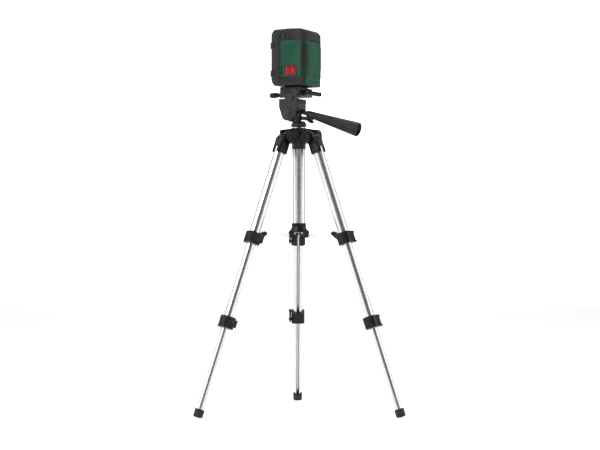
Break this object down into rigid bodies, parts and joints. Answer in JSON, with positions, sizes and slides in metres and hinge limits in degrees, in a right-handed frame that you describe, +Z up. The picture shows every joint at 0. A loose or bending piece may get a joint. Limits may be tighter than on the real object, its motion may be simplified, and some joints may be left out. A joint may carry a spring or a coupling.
{
  "type": "laser level on tripod",
  "caption": "Cross-line laser level on a small folding tripod with telescopic legs, sliding spreader, lifting column, pan and tilt head and a quick-release platform that flips on its side.",
  "frame": {"origin": "on the floor, under the middle of the whole object's box, with the legs open", "axes": "+Z up; +Y towards the rear leg; +X to the right as seen from the front, between the two front legs"},
  "size_m": [0.3174, 0.2768, 0.591],
  "materials": {
    "aluminium": "satin anodised tube",
    "battery": "foil sleeve",
    "black_plastic": "moulded, satin",
    "brass": "turned",
    "glass": "clear window",
    "green_plastic": "moulded, fine grain",
    "grey_plastic": "moulded, fine grain",
    "red_plastic": "moulded, half gloss",
    "rubber": "soft overmould, matt",
    "steel": "plain fine-turned"
  },
  "bodies": {
    "stand": {"shoulder": "black_plastic", "guide_tube": "aluminium", "leg_hinge_bolt_rear": "steel", "leg_hinge_bolt_left": "steel", "leg_hinge_bolt_right": "steel"},
    "leg_rear": {"leg_cap_rear": "black_plastic", "upper_tube_rear": "aluminium", "upper_clamp_rear": "black_plastic"},
    "upper_lever_rear": {"upper_lever_rear": "black_plastic"},
    "middle_section_rear": {"middle_tube_rear": "aluminium", "lower_clamp_rear": "black_plastic"},
    "lower_lever_rear": {"lower_lever_rear": "black_plastic"},
    "lower_section_rear": {"lower_tube_rear": "aluminium", "foot_rear": "rubber"},
    "arm_rear": {"spreader_arm_rear": "aluminium"},
    "leg_left": {"leg_cap_left": "black_plastic", "upper_tube_left": "aluminium", "upper_clamp_left": "black_plastic"},
    "upper_lever_left": {"upper_lever_left": "black_plastic"},
    "middle_section_left": {"middle_tube_left": "aluminium", "lower_clamp_left": "black_plastic"},
    "lower_lever_left": {"lower_lever_left": "black_plastic"},
    "lower_section_left": {"lower_tube_left": "aluminium", "foot_left": "rubber"},
    "arm_left": {"spreader_arm_left": "aluminium"},
    "leg_right": {"leg_cap_right": "black_plastic", "upper_tube_right": "aluminium", "upper_clamp_right": "black_plastic"},
    "upper_lever_right": {"upper_lever_right": "black_plastic"},
    "middle_section_right": {"middle_tube_right": "aluminium", "lower_clamp_right": "black_plastic"},
    "lower_lever_right": {"lower_lever_right": "black_plastic"},
    "lower_section_right": {"lower_tube_right": "aluminium", "foot_right": "rubber"},
    "arm_right": {"spreader_arm_right": "aluminium"},
    "hub": {"spreader_hub": "black_plastic"},
    "column": {"centre_column": "aluminium"},
    "column_lock": {"column_lock_knob": "black_plastic"},
    "pan": {"pan_base": "grey_plastic"},
    "pan_lock": {"pan_lock_knob": "black_plastic"},
    "tilt": {"tilt_bracket": "grey_plastic", "tilt_bolt": "grey_plastic"},
    "handle": {"handle_stem": "grey_plastic", "handle_grip": "black_plastic"},
    "flip": {"flip_platform": "grey_plastic"},
    "side_lock": {"side_lock_knob": "black_plastic"},
    "release": {"release_lever": "black_plastic"},
    "plate": {"quick_plate": "grey_plastic"},
    "screw": {"plate_screw": "steel"},
    "laser": {"laser_jacket": "rubber", "laser_housing": "green_plastic", "front_window": "glass", "battery_left": "battery", "battery_right": "battery", "thread_insert": "brass"},
    "switch": {"power_switch": "red_plastic"},
    "button": {"mode_button": "grey_plastic"},
    "door": {"battery_cover": "green_plastic"},
    "gimbal": {"gimbal_ring": "steel"},
    "pendulum": {"pendulum": "brass"}
  },
  "joints": [
    {"name": "leg_fold_rear", "type": "hinge", "parent": "stand", "child": "leg_rear", "pos_m": [0, -0.02166, 0.424], "axis": [-1, 0, 0], "range_deg": [0, 17.5]},
    {"name": "upper_lever_rear_flip", "type": "hinge", "parent": "leg_rear", "child": "upper_lever_rear", "pos_m": [-0.0129, 0.04511, 0.27047], "axis": [0, 0.3327, -0.943], "range_deg": [0, 95]},
    {"name": "middle_section_rear_slide", "type": "slide", "parent": "leg_rear", "child": "middle_section_rear", "axis": [0, -0.3327, 0.943], "range_m": [0, 0.114]},
    {"name": "lower_lever_rear_flip", "type": "hinge", "parent": "middle_section_rear", "child": "lower_lever_rear", "pos_m": [-0.0121, 0.08919, 0.14329], "axis": [0, 0.3327, -0.943], "range_deg": [0, 95]},
    {"name": "lower_section_rear_slide", "type": "slide", "parent": "middle_section_rear", "child": "lower_section_rear", "axis": [0, -0.3327, 0.943], "range_m": [0, 0.124]},
    {"name": "leg_fold_left", "type": "hinge", "parent": "stand", "child": "leg_left", "pos_m": [-0.01905, -0.05466, 0.424], "axis": [0.5, -0.866, 0], "range_deg": [0, 17.5]},
    {"name": "upper_lever_left_flip", "type": "hinge", "parent": "leg_left", "child": "upper_lever_left", "pos_m": [-0.07043, -0.09922, 0.27047], "axis": [-0.2881, -0.1663, -0.943], "range_deg": [0, 95]},
    {"name": "middle_section_left_slide", "type": "slide", "parent": "leg_left", "child": "middle_section_left", "axis": [0.2881, 0.1663, 0.943], "range_m": [0, 0.114]},
    {"name": "lower_lever_left_flip", "type": "hinge", "parent": "middle_section_left", "child": "lower_lever_left", "pos_m": [-0.109, -0.12057, 0.14329], "axis": [-0.2881, -0.1663, -0.943], "range_deg": [0, 95]},
    {"name": "lower_section_left_slide", "type": "slide", "parent": "middle_section_left", "child": "lower_section_left", "axis": [0.2881, 0.1663, 0.943], "range_m": [0, 0.124]},
    {"name": "leg_fold_right", "type": "hinge", "parent": "stand", "child": "leg_right", "pos_m": [0.01905, -0.05466, 0.424], "axis": [0.5, 0.866, 0], "range_deg": [0, 17.5]},
    {"name": "upper_lever_right_flip", "type": "hinge", "parent": "leg_right", "child": "upper_lever_right", "pos_m": [0.08333, -0.07688, 0.27047], "axis": [0.2881, -0.1663, -0.943], "range_deg": [0, 95]},
    {"name": "middle_section_right_slide", "type": "slide", "parent": "leg_right", "child": "middle_section_right", "axis": [-0.2881, 0.1663, 0.943], "range_m": [0, 0.114]},
    {"name": "lower_lever_right_flip", "type": "hinge", "parent": "middle_section_right", "child": "lower_lever_right", "pos_m": [0.1211, -0.09961, 0.14329], "axis": [0.2881, -0.1663, -0.943], "range_deg": [0, 95]},
    {"name": "lower_section_right_slide", "type": "slide", "parent": "middle_section_right", "child": "lower_section_right", "axis": [-0.2881, 0.1663, 0.943], "range_m": [0, 0.124]},
    {"name": "hub_slide", "type": "slide", "parent": "stand", "child": "hub", "axis": [0, 0, 1], "range_m": [0, 0.0475]},
    {"name": "arm_rear_swing", "type": "hinge", "parent": "hub", "child": "arm_rear", "pos_m": [0, -0.03036, 0.2724], "axis": [-1, 0, 0], "range_deg": [0, 91]},
    {"name": "arm_left_swing", "type": "hinge", "parent": "hub", "child": "arm_left", "pos_m": [-0.01152, -0.05031, 0.2724], "axis": [0.5, -0.866, 0], "range_deg": [0, 91]},
    {"name": "arm_right_swing", "type": "hinge", "parent": "hub", "child": "arm_right", "pos_m": [0.01152, -0.05031, 0.2724], "axis": [0.5, 0.866, 0], "range_deg": [0, 91]},
    {"name": "column_lift", "type": "slide", "parent": "stand", "child": "column", "axis": [0, 0, 1], "range_m": [0, 0.1]},
    {"name": "column_lock_turn", "type": "hinge", "parent": "stand", "child": "column_lock", "pos_m": [0, -0.04366, 0.427], "axis": [0.866, 0.5, 0], "range_deg": [0, 180]},
    {"name": "pan_turn", "type": "hinge", "parent": "column", "child": "pan", "pos_m": [0, -0.04366, 0.4406], "axis": [0, 0, 1], "continuous": true},
    {"name": "pan_lock_turn", "type": "hinge", "parent": "pan", "child": "pan_lock", "pos_m": [0, -0.04366, 0.4544], "axis": [0.848, 0.5299, 0], "range_deg": [0, 180]},
    {"name": "tilt_swing", "type": "hinge", "parent": "pan", "child": "tilt", "pos_m": [-0.00742, -0.03972, 0.4595], "axis": [-0.4695, -0.8829, 0], "range_deg": [-15, 90]},
    {"name": "handle_twist", "type": "hinge", "parent": "tilt", "child": "handle", "pos_m": [0.00036, -0.04725, 0.4652], "axis": [0.8407, -0.447, -0.3057], "range_deg": [0, 180]},
    {"name": "side_flip", "type": "hinge", "parent": "tilt", "child": "flip", "pos_m": [-0.01108, -0.0645, 0.4886], "axis": [0.8829, -0.4695, 0], "range_deg": [0, 90]},
    {"name": "side_lock_turn", "type": "hinge", "parent": "flip", "child": "side_lock", "pos_m": [-0.01108, -0.0645, 0.4886], "axis": [-0.8829, 0.4695, 0], "range_deg": [0, 180]},
    {"name": "release_open", "type": "hinge", "parent": "flip", "child": "release", "pos_m": [0.00943, -0.06, 0.4897], "axis": [0, 0, -1], "range_deg": [0, 65]},
    {"name": "plate_lift", "type": "slide", "parent": "flip", "child": "plate", "axis": [0, 0, 1], "range_m": [0, 0.012]},
    {"name": "screw_turn", "type": "hinge", "parent": "plate", "child": "screw", "pos_m": [-0.00406, -0.0415, 0.4919], "axis": [0, 0, 1], "range_deg": [0, 270]},
    {"name": "laser_turn", "type": "hinge", "parent": "plate", "child": "laser", "pos_m": [-0.00406, -0.0415, 0.4919], "axis": [0, 0, 1], "continuous": true},
    {"name": "switch_slide", "type": "slide", "parent": "laser", "child": "switch", "axis": [-0.8829, 0.4695, 0], "range_m": [0, 0.0075]},
    {"name": "button_press", "type": "slide", "parent": "laser", "child": "button", "axis": [0, 0, -1], "range_m": [0, 0.0008], "stiffness_N_per_m": 300, "springref_m": -0.0005},
    {"name": "door_open", "type": "hinge", "parent": "laser", "child": "door", "pos_m": [0.02366, -0.05624, 0.566], "axis": [-0.4695, -0.8829, 0], "range_deg": [0, 110]},
    {"name": "gimbal_roll", "type": "hinge", "parent": "laser", "child": "gimbal", "pos_m": [-0.00971, -0.0385, 0.5705], "axis": [-0.8829, 0.4695, 0], "range_deg": [-4, 4]},
    {"name": "pendulum_pitch", "type": "hinge", "parent": "gimbal", "child": "pendulum", "pos_m": [-0.00971, -0.0385, 0.5705], "axis": [-0.4695, -0.8829, 0], "range_deg": [-4, 4]}
  ],
  "couplings": [
    {"joint": "leg_fold_left", "follows": "leg_fold_rear", "ratio": 1},
    {"joint": "leg_fold_right", "follows": "leg_fold_rear", "ratio": 1},
    {"joint": "hub_slide", "follows": "leg_fold_rear", "m_per_rad": 0.1529},
    {"joint": "arm_rear_swing", "follows": "leg_fold_rear", "ratio": 5.1486},
    {"joint": "arm_left_swing", "follows": "leg_fold_rear", "ratio": 5.1486},
    {"joint": "arm_right_swing", "follows": "leg_fold_rear", "ratio": 5.1486}
  ]
}
